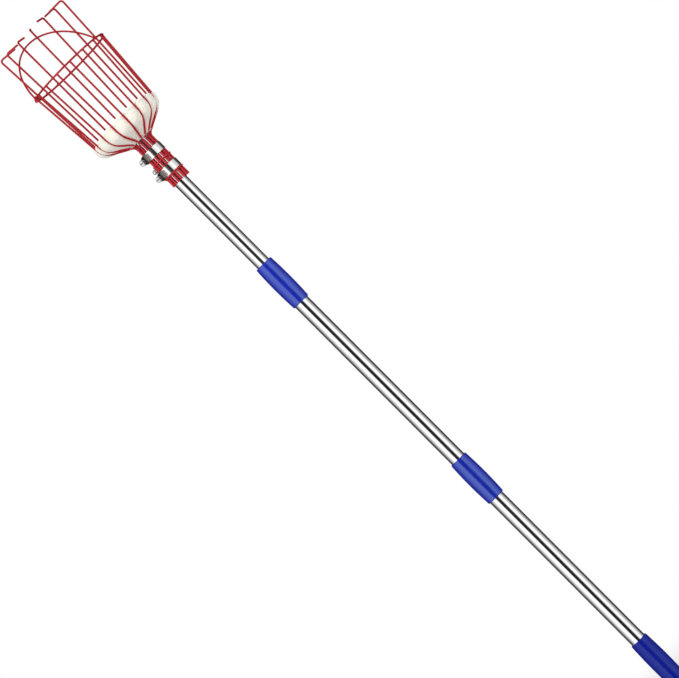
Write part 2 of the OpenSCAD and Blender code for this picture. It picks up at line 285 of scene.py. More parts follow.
# ---- mesh helpers
def new_mesh(name, verts, faces):
    """Checked mesh whose normals point outwards."""
    mesh = bpy.data.meshes.new(name)
    mesh.from_pydata([tuple(v) for v in verts], [], faces)
    mesh.validate()
    bm = bmesh.new()
    bm.from_mesh(mesh)
    bmesh.ops.recalc_face_normals(bm, faces=bm.faces)
    bm.to_mesh(mesh)
    bm.free()
    return mesh


def new_object(name, data):
    obj = bpy.data.objects.new(name, data)
    bpy.context.scene.collection.objects.link(obj)
    return obj


def piece(name, verts, faces, mat, body, replaced=(), sharp=35):
    """One visible piece: a smooth mesh with creases over sharp degrees, riding a body of the frame."""
    mesh = new_mesh(name, verts, faces)
    mesh.shade_smooth()
    mesh.set_sharp_from_angle(angle=radians(sharp))
    mesh.materials.append(mat)
    obj = new_object(name, mesh)
    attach(obj, body)
    if replaced:
        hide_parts(*replaced)
    return obj


def polar(r, az, z):
    return Vector((r * cos(az), r * sin(az), z))


def arc2(cx, cy, r, a0, a1, n):
    """Points of an arc in a plane, its start left out."""
    return [(cx + r * cos(a0 + (a1 - a0) * i / n), cy + r * sin(a0 + (a1 - a0) * i / n))
            for i in range(1, n + 1)]


def resample(points, step):
    """Splits long straights so that no two neighbours are over step apart."""
    out = [points[0]]
    for a, b in zip(points, points[1:]):
        n = max(1, ceil((b - a).length / step))
        out += [a.lerp(b, i / n) for i in range(1, n + 1)]
    return out


def ring_faces(count, sides, closed=False):
    """Faces between count rings of sides points each; the last ring meets the first if closed."""
    faces = []
    for i in range(count if closed else count - 1):
        n = (i + 1) % count
        for j in range(sides):
            k = (j + 1) % sides
            faces.append((i * sides + j, i * sides + k, n * sides + k, n * sides + j))
    return faces


def end_caps(count, sides):
    return [tuple(reversed(range(sides))), tuple(range((count - 1) * sides, count * sides))]


def sweep(points, radii, sides):
    """Capped tube round a path, with frames carried along it without twist."""
    count = len(points)
    tangents = [(points[min(i + 1, count - 1)] - points[max(i - 1, 0)]).normalized() for i in range(count)]
    side = tangents[0].orthogonal().normalized()
    sides_at = [side]
    for i in range(1, count):
        side = tangents[i - 1].rotation_difference(tangents[i]) @ side
        side = (side - tangents[i] * side.dot(tangents[i])).normalized()
        sides_at.append(side)
    verts = []
    for p, r, along, side in zip(points, radii, tangents, sides_at):
        up = along.cross(side)
        for j in range(sides):
            a = tau * j / sides
            verts.append(p + r * (cos(a) * side + sin(a) * up))
    return verts, ring_faces(count, sides) + end_caps(count, sides)


def coated(points, radius, seed, start="cut", end="round"):
    """Path and radii of a coated wire: a coat of uneven thickness, with cut or dipped ends."""
    wander = Vector((seed * 7.3, seed * 1.7, 0))
    radii = [radius * (1 + 0.012 * noise.noise(p * 90 + wander) + 0.008 * noise.noise(p * 300 + wander))
             for p in points]
    for which in (start, end):
        points, radii = points[::-1], radii[::-1]
        out = (points[-1] - points[-2]).normalized()
        tip = points[-1]
        if which == "cut":
            edge = 0.25 * MM
            points = points[:-1] + [tip - out * edge, tip - out * edge * 0.3, tip]
            radii = radii[:-1] + [radii[-1], radii[-1] - edge * 0.3, radii[-1] - edge]
        else:
            tip = tip - out * radius
            bulge, bulge_l = 0.1, 2.2 * MM
            radii = [r * (1 + bulge * exp(-((p - tip).length / bulge_l) ** 2))
                     for p, r in zip(points, radii)]
            tip_r = radii[-1]
            points = points[:-1] + [tip]
            for i in range(1, 7):
                a = pi / 2 * i / 6.4
                points.append(tip + out * tip_r * sin(a))
                radii.append(tip_r * cos(a))
    return points, radii


def lathe(profile, sides, closed=False):
    """Surface of revolution round Z of a list of (radius, height)."""
    verts, faces, rows = [], [], []
    for r, z in profile:
        if r <= 1e-9:
            rows.append([len(verts)])
            verts.append(Vector((0, 0, z)))
        else:
            rows.append(list(range(len(verts), len(verts) + sides)))
            verts += [polar(r, tau * j / sides, z) for j in range(sides)]
    for a, b in list(zip(rows, rows[1:])) + ([(rows[-1], rows[0])] if closed else []):
        for j in range(sides):
            k = (j + 1) % sides
            if len(a) == 1:
                faces.append((a[0], b[k], b[j]))
            elif len(b) == 1:
                faces.append((a[j], a[k], b[0]))
            else:
                faces.append((a[j], a[k], b[k], b[j]))
    return verts, faces


def fillet(poly, radius, steps=5, closed=True):
    """Rounds every corner of a polygon by radius, or by what fits."""
    out = []
    count = len(poly)
    for i, p in enumerate(poly):
        if not closed and i in (0, count - 1):
            out.append(p)
            continue
        p = Vector(p)
        a, b = Vector(poly[i - 1]) - p, Vector(poly[(i + 1) % count]) - p
        angle = a.angle(b)
        if angle > radians(170):
            out.append(tuple(p))
            continue
        reach = min(radius / tan(angle / 2), 0.45 * a.length, 0.45 * b.length)
        start, end = p + a.normalized() * reach, p + b.normalized() * reach
        for s in range(steps + 1):
            t = s / steps
            out.append(tuple((1 - t) ** 2 * start + 2 * t * (1 - t) * p + t ** 2 * end))
    return out


def moved(verts, matrix):
    return [matrix @ v for v in verts]


def join(*parts):
    verts, faces = [], []
    for v, f in parts:
        start = len(verts)
        verts += v
        faces += [tuple(i + start for i in face) for face in f]
    return verts, faces


def basket_at(z=0.0):
    return Matrix.Translation((AXIS_X, 0, BOWL_Z + z))


def spin_z(angle):
    return Matrix.Rotation(angle, 4, "Z")


# ---- basket wires
def bowl_profile(lean):
    """Radius and height of a wire's points, from its foot to where its straight side starts."""
    turn = pi / 2 - SLOPE
    bend_z = -3.5 * MM
    points = [(GRIP_WIRE_R, -GRIP_L), (GRIP_WIRE_R, bend_z)]
    for i in range(1, 13):
        a = turn * i / 12
        points.append((GRIP_WIRE_R + GRIP_BEND_R * (1 - cos(a)), bend_z + GRIP_BEND_R * sin(a)))
    r, z = points[-1]
    r, z = r + SLOPE_L * sin(turn), z + SLOPE_L * cos(turn)
    points.append((r, z))
    cx, cz = r - SIDE_BEND_R * cos(turn), z + SIDE_BEND_R * sin(turn)
    points += arc2(cx, cz, SIDE_BEND_R, -turn, -lean, 16)
    return points


def side_r_at(lean, z):
    """Radius of a wire's straight side at height z."""
    r, z0 = bowl_profile(lean)[-1]
    return r + (z - z0) * tan(lean)


def drift_share(z):
    """Share of a finger's sideways drift that it has at height z."""
    share = min(1.0, max(0.0, (z - DRIFT_FOOT_Z) / (FINGER_TOP_Z - DRIFT_FOOT_Z)))
    return share * share


def swung(points, az, drift):
    """Places (radius, height) points at azimuth az, drifting sideways by drift above the bowl."""
    return [polar(r, az + drift * drift_share(z), z) for r, z in points]


GAP_REACH = TOP_R + WIRE_R
GAP_AZ = atan2(GAP_REACH * sin(BOLT_AZ), GAP_REACH * cos(BOLT_AZ) - AXIS_X)
GAP_HALF = asin((WIRE_R + BOLT_R + 0.1 * MM) / GRIP_WIRE_R)
STEP = radians(22.5)
FINGER_AZ = {k: GAP_AZ - GAP_HALF if k == 1 else pi - k * STEP for k in range(1, 8)}
FRONT_AZ = {k: GAP_AZ + GAP_HALF if k == 1 else pi + (k - 1) * STEP for k in range(1, 10)}
WIRE_AZIMUTHS = sorted(a % tau for a in [*FINGER_AZ.values(), *FRONT_AZ.values()])
# How far each hand-bent finger stands off: height of its top in mm, sideways drift in degrees, hook length in
# mm and droop in degrees
FINGER_BEND = {
    1: (-6.0, 1.2, 0.5, 6.0), 2: (-3.0, -1.4, -1.0, 6.5), 3: (-0.5, -3.6, 0.0, 9.0),
    4: (0.0, -3.4, -0.5, 4.0), 5: (-0.5, -3.4, 0.0, 1.0), 6: (-3.0, -1.8, -1.0, 3.0),
    7: (-4.0, -1.4, 0.0, 3.0),
}


def wire_piece(name, path, radii, sides, mat):
    verts, faces = sweep(path, radii, sides)
    piece("coated_" + name, moved(verts, basket_at()), faces, mat, BASKET, [name])


def back_finger(k, mat):
    """Wire from the grip up the back, bent inwards at its top."""
    rise, drift, longer, droop = FINGER_BEND[k]
    points = bowl_profile(FINGER_LEAN)
    corner_z = FINGER_TOP_Z + rise * MM - HOOK_R
    corner_r = side_r_at(FINGER_LEAN, corner_z)
    points.append((corner_r, corner_z))
    end = pi / 2 + radians(droop)
    points += arc2(corner_r - HOOK_R, corner_z + HOOK_R * FINGER_LEAN, HOOK_R, 0, end, 12)
    r, z = points[-1]
    length = HOOK_L + longer * MM
    points.append((r - length * sin(end), z + length * cos(end)))
    path = resample(swung(points, FINGER_AZ[k], radians(drift)), WIRE_STEP)
    path, radii = coated(path, WIRE_R, k)
    wire_piece(f"back_finger_{k}", path, radii, WIRE_SIDES, mat)


def front_wire(k, mat):
    """Wire from the grip up to the mouth ring."""
    points = bowl_profile(FRONT_LEAN)
    points.append((side_r_at(FRONT_LEAN, RING_Z), RING_Z - 0.2 * MM))
    path = resample(swung(points, FRONT_AZ[k], 0.0), WIRE_STEP)
    path, radii = coated(path, WIRE_R, 20 + k, end="cut")
    wire_piece(f"front_wire_{k}", path, radii, WIRE_SIDES, mat)


def mouth_ring(mat):
    """One wire bent round the mouth: its ends lie one above the other at the right."""
    r, high_z = side_r_at(FRONT_LEAN, RING_Z) - 0.2 * MM, RING_Z + 1.0 * MM
    first, last = radians(3), radians(-366)
    drop, drop_at, drop_rate = 2.6 * MM, 0.52, 60
    flick, flick_l = 1.4 * MM, 0.012
    steps = 220
    path = []
    for i in range(steps + 1):
        share = i / steps
        fallen = drop / (1 + exp(-(share - drop_at) * drop_rate))
        stands_off = flick * exp(-(share / flick_l) ** 2)
        path.append(polar(r + stands_off, first + (last - first) * share, high_z - fallen))
    path, radii = coated(path, WIRE_R, 40, "round", "round")
    wire_piece("mouth_ring", path, radii, WIRE_SIDES, mat)


def arch_point(t):
    """Radius, azimuth and height of the arch at angle t from its top."""
    z = RING_Z + ARCH_RISE * (cos(t) - cos(ARCH_REACH)) / (1 - cos(ARCH_REACH))
    r = side_r_at(FINGER_LEAN, z) + WIRE_R + ARCH_R - 0.15 * MM
    a = pi / 2 - (t - ARCH_TURN)
    return r, a, z


def arch_hoop(mat):
    """Thin hoop over the back, its end at -X curled once round the mouth ring."""
    ring_r = side_r_at(FRONT_LEAN, RING_Z)
    curl_r = WIRE_R + ARCH_R + 0.05 * MM
    curl_az = arch_point(-ARCH_REACH * 0.985)[1]
    path = []
    for i in range(25):
        turn = radians(300) * (1 - i / 24)
        az = curl_az + CURL_DRIFT / ring_r * turn
        path.append(polar(ring_r + curl_r * cos(turn), az, RING_Z - curl_r * sin(turn)))
    path += [polar(*arch_point(ARCH_REACH * 0.97 * i / 60)) for i in range(-60, 61)]
    middle = [(a + 2 * b + c) / 4 for a, b, c in zip(path, path[1:], path[2:])]
    path, radii = coated(resample([path[0], *middle, path[-1]], WIRE_STEP), ARCH_R, 50, "round", "round")
    curl_end = polar(ring_r, arch_point(-ARCH_REACH)[1], RING_Z)
    radii = [r * (0.8 if (p - curl_end).length < 5 * MM else 1) for p, r in zip(path, radii)]
    wire_piece("arch_hoop", path, radii, 18, mat)


def tie_ring(name, z, mat):
    """Ring of thin wire round the grip, sunk a little into the coating; the lower one's end stands off."""
    lower = name == "lower_tie_ring"
    r = TIE_RING_R - 0.5 * MM
    gap = radians(200 if lower else 20)
    path = []
    for i in range(145):
        a = gap + radians(358) * i / 144
        path.append(polar(r + 0.12 * MM * sin(16 * a), a, z + 0.25 * MM * sin(2 * a)))
    if lower:
        out = (path[0] - path[1]).normalized()
        path = [path[0] + out * 2.6 * MM, path[0] + out * 1.2 * MM] + path
    path, radii = coated(path, TIE_R, 60, "round", "round")
    wire_piece(name, path, radii, 14, mat)


def weld(centre, across, length):
    """Small upright bead, drawn out along the wires that are welded."""
    sides, rings = 14, 9
    profile = [(across * sin(pi * i / rings), -length * cos(pi * i / rings))
               for i in range(rings + 1)]
    verts, faces = lathe(profile, sides)
    return moved(verts, Matrix.Translation(centre)), faces


def welds(mat):
    """Beads at every crossing of the wires with the mouth ring and the arch, joined into one piece."""
    ring_r = side_r_at(FRONT_LEAN, RING_Z)
    beads = []
    for az in FRONT_AZ.values():
        beads.append(weld(polar(ring_r - 0.1 * MM, az, RING_Z - 0.9 * MM), 1.65 * MM, 2.0 * MM))
    for k, az in FINGER_AZ.items():
        rise, drift = FINGER_BEND[k][:2]
        ring_az = az + radians(drift) * drift_share(RING_Z)
        beads.append(weld(polar(ring_r - 1.6 * MM, ring_az, RING_Z - 1.3 * MM), 1.7 * MM, 2.2 * MM))
        for i in range(-75, 76):
            r, arch_az, z = arch_point(radians(i))
            here = az + radians(drift) * drift_share(z)
            if abs(arch_az - here) < radians(0.5) and z < FINGER_TOP_Z + rise * MM - HOOK_R:
                beads.append(weld(polar(r - 1.4 * MM, here, z), 1.6 * MM, 2.0 * MM))
                break
    verts, faces = join(*beads)
    piece("weld_beads", moved(verts, basket_at()), faces, mat, BASKET)


# ---- foam cup
def foam_profile():
    """Outer skin of the cup as (radius, height) points, from the foot of its side to the start of its rim."""
    top_z = FOAM_RIM_Z - 4 * MM
    skin = [(r, z) for r, z in bowl_profile(FINGER_LEAN) if 4 * MM < z < top_z]
    (r, z), (r1, z1) = skin[:2]
    skin[0] = (r + (FOAM_BASE_Z - z) * (r1 - r) / (z1 - z), FOAM_BASE_Z)
    return skin + [(side_r_at(FINGER_LEAN, FOAM_RIM_Z), top_z)]


# How far the foam swells past the wires' middles between them, in mm, from its base to its rim
SWELL = [0.0, 0.1, 0.15, 0.3, 0.6, 1.2, 2.4, 4.3, 5.4, 5.2, 4.4, 3.2]
# How much lower the rim lies at the cup's two sides than at its front and back, and how much less it swells
RIM_SAG = 6.5 * MM
SIDE_SLACK = 0.5


def rim_sag(az, share):
    """How far a point of the cup at azimuth az sinks, share being 0 at the base and 1 at the rim."""
    return RIM_SAG * abs(cos(az)) ** 3 * share ** 4


def wires_beside(az):
    """Azimuths of the wires on both sides of azimuth az, and az counted so that it lies between them."""
    az = az % tau
    if az < WIRE_AZIMUTHS[0]:
        az += tau
    for a, b in zip(WIRE_AZIMUTHS, WIRE_AZIMUTHS[1:] + [WIRE_AZIMUTHS[0] + tau]):
        if a <= az <= b:
            break
    return a, b, az


def wire_gap(az):
    """How far azimuth az is from a wire, 0 at a wire and 1 in the middle of its gap, and the gap's width."""
    a, b, az = wires_beside(az)
    return 1 - abs((az - a) / (b - a) * 2 - 1), (b - a) / STEP


def swell_at(az, share):
    """How far the foam swells at azimuth az in the middle of a gap."""
    place = share * (len(SWELL) - 1)
    i = min(len(SWELL) - 2, int(place))
    swell = SWELL[i] + (SWELL[i + 1] - SWELL[i]) * (place % 1.0)
    return swell * (1 - SIDE_SLACK * abs(cos(az)) ** 4) * MM


def foam_rows():
    """Outer skin in fine steps, as (radius, height) with the radius and height of its normal."""
    skin = foam_profile()
    fine = []
    for (r0, z0), (r1, z1) in zip(skin, skin[1:]):
        n = max(1, round(hypot(r1 - r0, z1 - z0) / FOAM_STEP))
        fine += [(r0 + (r1 - r0) * i / n, z0 + (z1 - z0) * i / n) for i in range(n)]
    fine.append(skin[-1])
    rows = []
    for i, (r, z) in enumerate(fine):
        a, b = fine[max(i - 1, 0)], fine[min(i + 1, len(fine) - 1)]
        length = hypot(b[0] - a[0], b[1] - a[1])
        rows.append((r, z, (b[1] - a[1]) / length, (a[0] - b[0]) / length))
    return rows


def round_cup(point_at):
    """Ring of points, one for each azimuth round the cup."""
    return [point_at(tau * j / FOAM_SIDES) for j in range(FOAM_SIDES)]


def foam_grain(az, z, fine, tall, depth):
    return noise.noise(Vector((cos(az) * fine, sin(az) * fine, z * tall))) * depth


def petal_point(az, row, share):
    """Point of the outer skin: pressed in at the wires, and swelling between them."""
    r, z, nr, nz = row
    gap, width = wire_gap(az)
    press = WIRE_R + 0.25 * MM
    pillow = (1 - (1 - gap) ** 2.4) * width
    grain = foam_grain(az, z, 2.2, 60, 0.5 * MM)
    out = -press + (press + swell_at(az, share)) * pillow + grain * pillow
    tip = 4.6 * MM * (sin(pi / 2 * gap) - 0.75) * share ** 3 - rim_sag(az, share)
    return polar(r + nr * out, az, z + nz * out + tip)


def rim_ring(edge, lip_r, a):
    """Ring of the rounded rim at angle a of its section, 0 being the outer skin's edge and pi the lip."""
    ring = []
    for j, p in enumerate(edge):
        r = hypot(p.x, p.y)
        r += (lip_r - r) * (1 - cos(a)) / 2
        ring.append(polar(r, tau * j / FOAM_SIDES, p.z + FOAM_T / 2 * sin(a) * 0.95))
    return ring


def bowl_point(az, r, z, fade, share):
    """Point of the inner skin, which shows the wires' gaps as shallow waves that fade downwards."""
    gap, width = wire_gap(az)
    wave = 0.7 * MM * fade * (gap - 0.5) * width
    grain = foam_grain(az, z, 3, 70, 0.35 * MM)
    return polar(max(r + wave + grain, 0.6 * MM), az, z - rim_sag(az, share))


def foam_pad(mat):
    """Cup of soft foam, pressed into the wires so that it swells out in petals between them."""
    rows = foam_rows()
    rings = []
    for i, row in enumerate(rows):
        rings.append(round_cup(lambda az: petal_point(az, row, i / (len(rows) - 1))))
    edge = rings[-1]
    for i in range(1, RIM_STEPS + 1):
        rings.append(rim_ring(edge, rows[-1][0] - FOAM_T, pi * i / RIM_STEPS))
    inner = [(r - nr * FOAM_T, z - nz * FOAM_T) for r, z, nr, nz in reversed(rows[:-1])]
    inner = [(r, z) for r, z in inner if z > FOAM_BASE_Z + FOAM_T and r > 3 * MM]
    last_r, last_z = inner[-1]
    floor = [(last_r * s, last_z - 0.6 * MM * (1 - s)) for s in (0.75, 0.5, 0.3, 0.12)]
    for i, (r, z) in enumerate(inner + floor):
        fade, share = max(0.0, 1 - i / 14), max(0.0, 1 - i / len(inner))
        rings.append(round_cup(lambda az: bowl_point(az, r, z, fade, share)))
    verts = [p for ring in rings for p in ring]
    faces = ring_faces(len(rings), FOAM_SIDES)
    for start in (0, len(verts) - FOAM_SIDES):
        hub = len(verts)
        verts.append(sum(verts[start:start + FOAM_SIDES], Vector()) / FOAM_SIDES)
        faces += [(start + j, start + (j + 1) % FOAM_SIDES, hub) for j in range(FOAM_SIDES)]
    cup = piece("foam_cup", moved(verts, basket_at()), faces, mat, BASKET, ["foam_pad"], sharp=80)


# ---- clamps
def band_sink(az):
    """How far the band lies inside its circle at azimuth az, being stretched straight between two wires."""
    a, b, az = wires_beside(az)
    flat = (GRIP_WIRE_R * cos((b - a) / 2) + WIRE_R) / cos(az - (a + b) / 2)
    return 0.75 * max(0.0, GRIP_WIRE_R + WIRE_R - flat)


def band_ring():
    """Closed band of rounded section stretched over the wires."""
    r_out, half_w = BAND_R + BAND_T, BAND_W / 2
    section = fillet([(BAND_R, -half_w), (r_out, -half_w), (r_out, half_w), (BAND_R, half_w)], 0.18 * MM, 3)
    steps = 192
    verts = []
    for i in range(steps):
        a = tau * i / steps
        verts += [polar(r - band_sink(a), a, z) for r, z in section]
    return verts, ring_faces(steps, len(section), closed=True)


def slotted_tail():
    """Tail of the band outside it: a thin plate with a rounded end and a row of slots, whose bars stand up as
    small ridges. Azimuths count from the screw."""
    r_in, r_out = BAND_R + BAND_T + 0.06 * MM, TAIL_R
    half_w = BAND_W / 2
    slot_half_h = 3.9 * MM
    pitch = WORM_PITCH / TAIL_R
    n_slots = int(TAIL_ANGLE / pitch) - 1
    per_pitch = 8
    fine = [i * pitch / per_pitch for i in range((n_slots + 1) * per_pitch + 1)]
    fine += [fine[-1] + (TAIL_ANGLE - fine[-1]) * i / 4 for i in range(1, 5)]
    heights = [-half_w, -half_w + 0.25 * MM, -slot_half_h - 0.5 * MM, -slot_half_h, slot_half_h,
               slot_half_h + 0.5 * MM, half_w - 0.25 * MM, half_w]
    end_round = 4.0 * MM / TAIL_R

    def squeeze(a, z):
        over = a - (TAIL_ANGLE - end_round)
        share = min(1.0, max(0.0, over / end_round))
        return z * (1 - 0.45 * (1 - sqrt(max(0.0, 1 - share * share))))

    def ridge(a, j):
        phase = (a / pitch) % 1.0
        inside = a < (n_slots + 0.5) * pitch and a > 0.4 * pitch
        return 0.26 * MM * (cos(tau * phase) - 0.6) if j in (3, 4) and inside else 0.0

    def is_slot(i, j):
        phase = ((fine[i] + fine[i + 1]) / 2 / pitch) % 1.0
        return j == 3 and 0.3 < phase < 0.7 and pitch * 0.5 < fine[i] < n_slots * pitch

    verts, index, faces = [], {}, []
    for i, a in enumerate(fine):
        for j, z in enumerate(heights):
            for k, r in enumerate((r_in, r_out)):
                index[i, j, k] = len(verts)
                verts.append(polar(r - band_sink(a + CLAMP_AZ) + ridge(a, j), a, squeeze(a, z)))
    # The plate's quads outside and inside, and a wall where a quad has no neighbour
    cells = {(i, j) for i in range(len(fine) - 1) for j in range(len(heights) - 1) if not is_slot(i, j)}
    for i, j in sorted(cells):
        for k in (0, 1):
            faces.append((index[i, j, k], index[i + 1, j, k], index[i + 1, j + 1, k], index[i, j + 1, k]))
        for di, dj, p, q in ((-1, 0, (0, 0), (0, 1)), (1, 0, (1, 0), (1, 1)),
                             (0, -1, (0, 0), (1, 0)), (0, 1, (0, 1), (1, 1))):
            if (i + di, j + dj) not in cells:
                a = (i + p[0], j + p[1])
                b = (i + q[0], j + q[1])
                faces.append((index[(*a, 0)], index[(*a, 1)], index[(*b, 1)], index[(*b, 0)]))
    return verts, faces


def with_bevel(obj, width, segments, angle):
    mod = obj.modifiers.new("soft_edges", "BEVEL")
    mod.width = width
    mod.segments = segments
    mod.limit_method = "ANGLE"
    mod.angle_limit = radians(angle)
    mod.harden_normals = False


def clamp_band(which, z, mat, tail_shade_mat):
    """Band round the wires and its slotted tail, which takes a darker, browner steel as painted shade."""
    ring = band_ring()
    tail_verts, tail_faces = slotted_tail()
    verts, faces = join(ring, (moved(tail_verts, spin_z(CLAMP_AZ)), tail_faces))
    name = f"{which}_clamp_band"
    obj = piece("strip_" + name, moved(verts, basket_at(z)), faces, mat, BASKET, [name])
    obj.data.materials.append(tail_shade_mat)
    for polygon in obj.data.polygons[len(ring[1]):]:
        polygon.material_index = 1


def at_clamp(z):
    """Local +X outwards, +Y along the screw towards its head."""
    return basket_at(z) @ spin_z(CLAMP_AZ)


def extrude_y(section, y0, y1):
    """Prism of a closed (x, z) section along Y."""
    count = len(section)
    verts = [Vector((x, y, z)) for y in (y0, y1) for x, z in section]
    faces = [(i, (i + 1) % count, count + (i + 1) % count, count + i) for i in range(count)]
    return verts, faces + end_caps(2, count)


def clamp_housing(which, z, mat):
    """Pressed shell over the worm: an arch whose feet wrap the band's edges, an end plate and a tongue."""
    inner = WORM_R + 0.12 * MM
    outer = inner + 0.9 * MM
    foot_x, tail_x, foot_l = BAND_R + 0.15 * MM, TAIL_R + 0.1 * MM, 1.6 * MM
    half = BAND_W / 2
    edge, lip = half + 0.05 * MM, half + 0.75 * MM
    angles = [radians(112) * (1 - 2 * i / 28) for i in range(29)]
    outside = [(SCREW_R + outer * cos(a), outer * sin(a)) for a in angles]
    inside = [(SCREW_R + inner * cos(a), inner * sin(a)) for a in reversed(angles)]
    section = ([(foot_x, edge), (foot_x, lip), (foot_x + foot_l, lip)] + outside
               + [(foot_x + foot_l, -lip), (foot_x, -lip), (foot_x, -edge), (tail_x, -edge)]
               + inside + [(tail_x, edge)])
    shell = extrude_y(section, WORM_BACK - 0.2 * MM, WORM_FRONT - 0.1 * MM)
    plate_x, top_x = TAIL_R + 0.15 * MM, SCREW_R + outer * 0.7
    end_plate = fillet([(plate_x, -outer * 0.92), (top_x, -outer * 0.72), (SCREW_R + outer * 0.98, 0),
                        (top_x, outer * 0.72), (plate_x, outer * 0.92)], 1.5 * MM, 4)
    plate = extrude_y(end_plate, WORM_BACK - 1.0 * MM, WORM_BACK - 0.15 * MM)
    saddle_x = foot_x + 0.7 * MM
    tongue = extrude_y([(foot_x, -lip), (saddle_x, -lip), (saddle_x, lip), (foot_x, lip)],
                       WORM_BACK - 1.9 * MM, WORM_BACK - 0.2 * MM)
    verts, faces = join(shell, plate, tongue)
    name = f"{which}_clamp_housing"
    obj = piece("shell_" + name, moved(verts, at_clamp(z)), faces, mat, BASKET, [name])
    with_bevel(obj, 0.22 * MM, 3, 30)


def worm():
    """Screw body with a true helical thread, along +Z from WORM_BACK to WORM_FRONT."""
    sides, rows = 72, 150
    root = WORM_R - 0.75 * MM
    verts = []
    for i in range(rows + 1):
        z = WORM_BACK + (WORM_FRONT - WORM_BACK) * i / rows
        near_end = min(1.0, min(z - WORM_BACK, WORM_FRONT - z) / (0.5 * MM))
        for j in range(sides):
            phase = ((z - WORM_BACK) / WORM_PITCH - j / sides) % 1.0
            crest = min(1.0, max(0.0, (abs(phase - 0.5) * 2 - 0.28) / 0.3))
            verts.append(polar(root + (WORM_R - root) * crest * near_end, tau * j / sides, z))
    return verts, ring_faces(rows + 1, sides) + end_caps(rows + 1, sides)


def hex_head(across_corners, height, z0, chamfer):
    """Hexagon prism with turned chamfers, as a polar grid."""
    sides = 96
    apothem = across_corners / 2 * cos(pi / 6)
    levels = [(0.0, apothem * 0.98), (chamfer * 0.45, inf), (height - chamfer, inf),
              (height - 0.05 * MM, apothem), (height, apothem * 0.95), (height, apothem * 0.75)]
    verts = []
    for z, limit in levels:
        for j in range(sides):
            a = tau * j / sides
            hex_r = min(across_corners / 2 * 0.985, apothem / cos((a % (pi / 3)) - pi / 6))
            verts.append(polar(min(hex_r, limit), a, z0 + z))
    return verts, ring_faces(len(levels), sides) + end_caps(len(levels), sides)


def cut_away(part, cutter):
    """Vertices and faces of part with the cutter taken away."""
    base, tool = [new_object("solid", new_mesh("solid", *solid)) for solid in (part, cutter)]
    mod = base.modifiers.new("cut", "BOOLEAN")
    mod.operation = "DIFFERENCE"
    mod.solver = "EXACT"
    mod.object = tool
    graph = bpy.context.evaluated_depsgraph_get()
    mesh = bpy.data.meshes.new_from_object(base.evaluated_get(graph))
    verts = [v.co.copy() for v in mesh.vertices]
    faces = [tuple(p.vertices) for p in mesh.polygons]
    for old in (base.data, tool.data, mesh):
        bpy.data.meshes.remove(old)
    return verts, faces


def box_solid(x, y, z0, z1):
    """Box that reaches x and y to both sides of the axis."""
    verts = [Vector((sx * x, sy * y, z)) for z in (z0, z1) for sx, sy in ((-1, -1), (1, -1), (1, 1), (-1, 1))]
    return verts, [(3, 2, 1, 0), (4, 5, 6, 7), (0, 1, 5, 4), (1, 2, 6, 5), (2, 3, 7, 6), (3, 0, 4, 7)]


def turned_solid(profile, rounding, steps, sides):
    """Solid turned from a profile that starts and ends at its axis or inside another part."""
    return lathe(fillet(profile, rounding, steps, closed=False), sides)


def clamp_screw(which, z, mat, slot_shadow_mat):
    """Worm with a washer face, slotted hexagon head and a pivot at its far end; the slot's faces get
    near-black steel as a painted shadow.
    """
    face, top = WORM_FRONT + 1.05 * MM, WORM_FRONT + 4.4 * MM
    flange = turned_solid([(POINT_R, WORM_FRONT), (FLANGE_R - 0.3 * MM, WORM_FRONT + 0.05 * MM),
                           (FLANGE_R, WORM_FRONT + 0.3 * MM), (FLANGE_R, WORM_FRONT + 0.9 * MM),
                           (FLANGE_R - 0.35 * MM, face), (POINT_R, face)], 0.12 * MM, 3, 72)
    slot_half, slot_floor, edge = 0.65 * MM, top - 1.8 * MM, 0.02 * MM
    head = cut_away(hex_head(8.1 * MM, 3.4 * MM, WORM_FRONT + 1.0 * MM, 0.7 * MM),
                    box_solid(6 * MM, slot_half, slot_floor, top + 1 * MM))
    pivot_r, pivot_z = 1.55 * MM, WORM_BACK - 1.6 * MM
    pivot = turned_solid([(POINT_R, pivot_z), (pivot_r, pivot_z), (pivot_r, WORM_BACK + 0.3 * MM)],
                         0.25 * MM, 3, 40)
    verts, faces = join(head, worm(), flange, pivot)
    place = at_clamp(z) @ Matrix.Translation((SCREW_R, 0, 0)) @ Matrix.Rotation(-pi / 2, 4, "X")
    name = f"{which}_clamp_screw"
    obj = piece("worm_" + name, moved(verts, place), faces, mat, f"{which}_clamp_worm",
                [name], 30)
    obj.data.materials.append(slot_shadow_mat)
    # Faces inside the slot take the near-black painted shadow.
    for polygon, corners in zip(obj.data.polygons, head[1]):
        middle = sum((verts[i] for i in corners), Vector()) / len(corners)
        if abs(middle.y) < slot_half + edge and slot_floor - edge < middle.z < top - edge:
            polygon.material_index = 1
    with_bevel(obj, 0.1 * MM, 2, 40)


def along_bolt():
    """Local +Z along the bolt towards its nut, from the pole's axis."""
    turn = spin_z(BOLT_AZ) @ Matrix.Rotation(pi / 2, 4, "Y")
    return Matrix.Translation((0, 0, BOLT_Z + BOWL_Z)) @ turn


def cross_bolt(mat):
    """Bolt with a slotted domed head."""
    head_x, end_x = -TOP_R - 0.1 * MM, 18.7 * MM
    part = turned_solid([(POINT_R, head_x - 2.3 * MM), (2.2 * MM, head_x - 2.2 * MM),
                         (3.2 * MM, head_x - 1.6 * MM), (3.8 * MM, head_x - 0.5 * MM), (3.75 * MM, head_x),
                         (BOLT_R + 0.02 * MM, head_x), (BOLT_R, head_x + 0.2 * MM),
                         (BOLT_R, end_x - 0.5 * MM), (BOLT_R - 0.5 * MM, end_x), (POINT_R, end_x)],
                        0.3 * MM, 4, 64)
    verts, faces = cut_away(part, box_solid(4.5 * MM, 0.55 * MM, head_x - 3 * MM, head_x - 1.2 * MM))
    obj = piece("turned_cross_bolt", moved(verts, along_bolt()), faces, mat, BASKET,
                ["cross_bolt"], 30)
    with_bevel(obj, 0.06 * MM, 2, 45)


